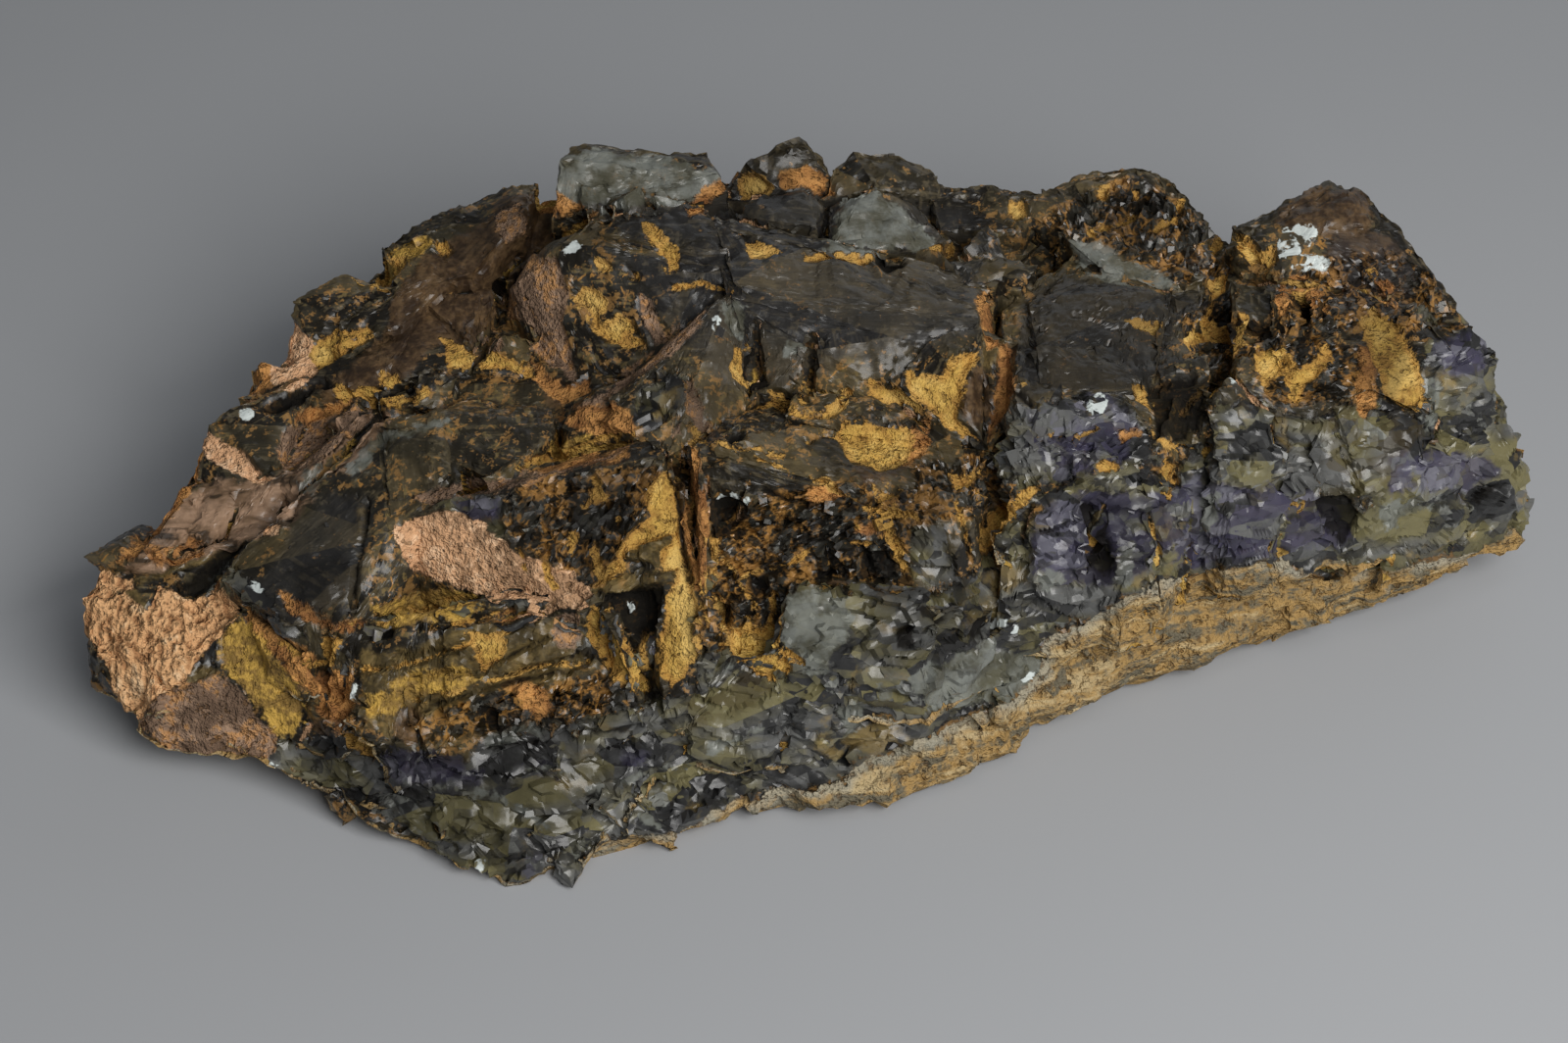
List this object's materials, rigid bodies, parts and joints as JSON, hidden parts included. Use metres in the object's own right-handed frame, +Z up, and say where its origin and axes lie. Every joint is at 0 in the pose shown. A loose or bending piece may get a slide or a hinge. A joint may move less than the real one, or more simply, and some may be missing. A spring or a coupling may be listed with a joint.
{
  "type": "rough fluorite hand specimen",
  "caption": "Rough slab of dark banded fluorite with stepped cubic crystals and ochre clay on top and a thin skin of ochre limestone below.",
  "frame": {"origin": "on the table, under the middle of the overall box", "axes": "+X along the slab to its square end, +Y to its back edge, +Z up out of the crystal crust"},
  "size_m": [0.1846, 0.0922, 0.048],
  "materials": {
    "fluorite_rock": "near-black to greenish-brown broken fluorite, semi-glossy, with violet and grey bands and matt ochre clay"
  },
  "bodies": {
    "root": {"fluorite_specimen": "fluorite_rock"}
  },
  "joints": []
}
